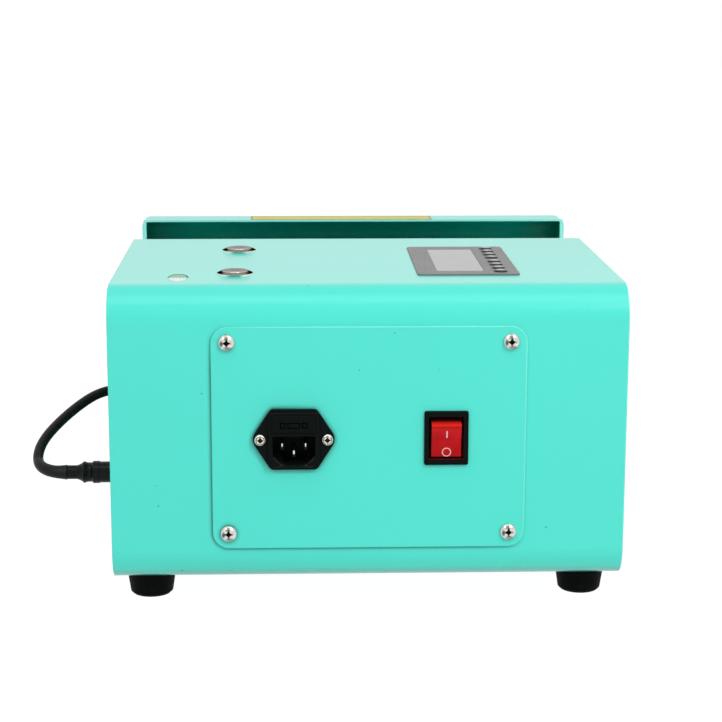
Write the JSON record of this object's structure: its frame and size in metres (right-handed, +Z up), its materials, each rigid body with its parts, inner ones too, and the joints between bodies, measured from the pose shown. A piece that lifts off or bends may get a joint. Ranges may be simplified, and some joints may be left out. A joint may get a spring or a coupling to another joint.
{
  "type": "tumbler heat press",
  "caption": "Bench heat press for tumblers: a turquoise sheet-metal control box with a controller and push buttons, an open bay with curved heater jaws, and a hood behind.",
  "frame": {"origin": "on the surface that it stands on, under the middle of the press's bounding box without its cable", "axes": "+Z up, -Y towards the operator, +X from the control box towards the hood"},
  "size_m": [0.3328, 0.375, 0.2007],
  "materials": {
    "teal_paint": "semi-gloss turquoise enamel",
    "screw_steel": "zinc-plated steel",
    "foot_rubber": "matt black rubber",
    "black_plastic": "black moulded nylon",
    "pin_metal": "nickel-plated brass",
    "fuse_glass": "glass cartridge fuses",
    "red_rocker": "translucent red rocker",
    "grey_bezel": "grey moulded face",
    "display_glass": "pale display window, off",
    "circuit_board": "green board with parts",
    "key_plastic": "grey domed keys",
    "button_steel": "turned stainless steel",
    "nut_brass": "plain brass",
    "plug_metal": "nickel-plated",
    "plug_black": "gloss black moulding",
    "lead_black": "black sleeving",
    "cable_sheath": "black flexible sheath",
    "mat_silicone": "black silicone",
    "shell_steel": "stainless sheet",
    "frame_steel": "black powder coat",
    "rod_steel": "hard-chromed steel",
    "aluminium": "bare aluminium",
    "drive_black": "black housing"
  },
  "bodies": {
    "housing": {"access_plate": "teal_paint", "access_plate_screws": "screw_steel", "actuator_clamps": "frame_steel", "actuator_gearbox": "drive_black", "actuator_motor": "drive_black", "actuator_tube": "aluminium", "back_panel": "teal_paint", "bay_screws": "screw_steel", "board_heat_sink": "aluminium", "board_standoffs": "nut_brass", "button_bezels": "button_steel", "button_nuts": "nut_brass", "cable_shrink": "lead_black", "control_board": "circuit_board", "control_box_shell": "teal_paint", "display_bezel": "grey_bezel", "display_board": "circuit_board", "display_window": "display_glass", "divider_wall": "teal_paint", "end_panel_screws": "screw_steel", "feet": "foot_rubber", "fixed_heating_mat": "mat_silicone", "fixed_jaw_bracket": "frame_steel", "fixed_jaw_shell": "shell_steel", "foot_screws": "screw_steel", "front_panel": "teal_paint", "guide_rods": "rod_steel", "heater_cable": "cable_sheath", "heater_socket": "plug_metal", "hood_shell": "teal_paint", "inlet_body": "black_plastic", "inlet_pins": "pin_metal", "inlet_screws": "screw_steel", "lead_boot": "mat_silicone", "plug_body": "plug_black", "plug_ring": "plug_black", "plug_sleeve": "lead_black", "power_supply": "aluminium", "rod_supports": "aluminium", "socket_nut": "nut_brass", "switch_frame": "black_plastic"},
    "jaw": {"jaw_carriage": "frame_steel", "carriage_bearings": "aluminium", "bearing_screws": "screw_steel", "moving_jaw_shell": "shell_steel", "moving_heating_mat": "mat_silicone", "actuator_rod": "rod_steel"},
    "rocker": {"switch_rocker": "red_rocker"},
    "drawer": {"fuse_drawer": "black_plastic", "fuses": "fuse_glass"},
    "start_button": {"start_button": "button_steel"},
    "stop_button": {"stop_button": "button_steel"},
    "key_1": {"key_1": "key_plastic"},
    "key_2": {"key_2": "key_plastic"},
    "key_3": {"key_3": "key_plastic"},
    "key_4": {"key_4": "key_plastic"},
    "key_5": {"key_5": "key_plastic"},
    "key_6": {"key_6": "key_plastic"},
    "key_7": {"key_7": "key_plastic"},
    "key_8": {"key_8": "key_plastic"}
  },
  "joints": [
    {"name": "jaw_slide", "type": "slide", "parent": "housing", "child": "jaw", "axis": [-1, 0, 0], "range_m": [0, 0.016]},
    {"name": "rocker_tilt", "type": "hinge", "parent": "housing", "child": "rocker", "pos_m": [-0.15365, -0.05021, 0.107], "axis": [0, 1, 0], "range_deg": [0, 20]},
    {"name": "drawer_slide", "type": "slide", "parent": "housing", "child": "drawer", "axis": [-1, 0, 0], "range_m": [0, 0.016]},
    {"name": "start_button_press", "type": "slide", "parent": "housing", "child": "start_button", "axis": [0, 0, -1], "range_m": [0, 0.0018], "stiffness_N_per_m": 1500},
    {"name": "stop_button_press", "type": "slide", "parent": "housing", "child": "stop_button", "axis": [0, 0, -1], "range_m": [0, 0.0018], "stiffness_N_per_m": 1500},
    {"name": "key_1_press", "type": "slide", "parent": "housing", "child": "key_1", "axis": [0, 0, -1], "range_m": [0, 0.0007], "stiffness_N_per_m": 2100},
    {"name": "key_2_press", "type": "slide", "parent": "housing", "child": "key_2", "axis": [0, 0, -1], "range_m": [0, 0.0007], "stiffness_N_per_m": 2100},
    {"name": "key_3_press", "type": "slide", "parent": "housing", "child": "key_3", "axis": [0, 0, -1], "range_m": [0, 0.0007], "stiffness_N_per_m": 2100},
    {"name": "key_4_press", "type": "slide", "parent": "housing", "child": "key_4", "axis": [0, 0, -1], "range_m": [0, 0.0007], "stiffness_N_per_m": 2100},
    {"name": "key_5_press", "type": "slide", "parent": "housing", "child": "key_5", "axis": [0, 0, -1], "range_m": [0, 0.0007], "stiffness_N_per_m": 2100},
    {"name": "key_6_press", "type": "slide", "parent": "housing", "child": "key_6", "axis": [0, 0, -1], "range_m": [0, 0.0007], "stiffness_N_per_m": 2100},
    {"name": "key_7_press", "type": "slide", "parent": "housing", "child": "key_7", "axis": [0, 0, -1], "range_m": [0, 0.0007], "stiffness_N_per_m": 2100},
    {"name": "key_8_press", "type": "slide", "parent": "housing", "child": "key_8", "axis": [0, 0, -1], "range_m": [0, 0.0007], "stiffness_N_per_m": 2100}
  ]
}
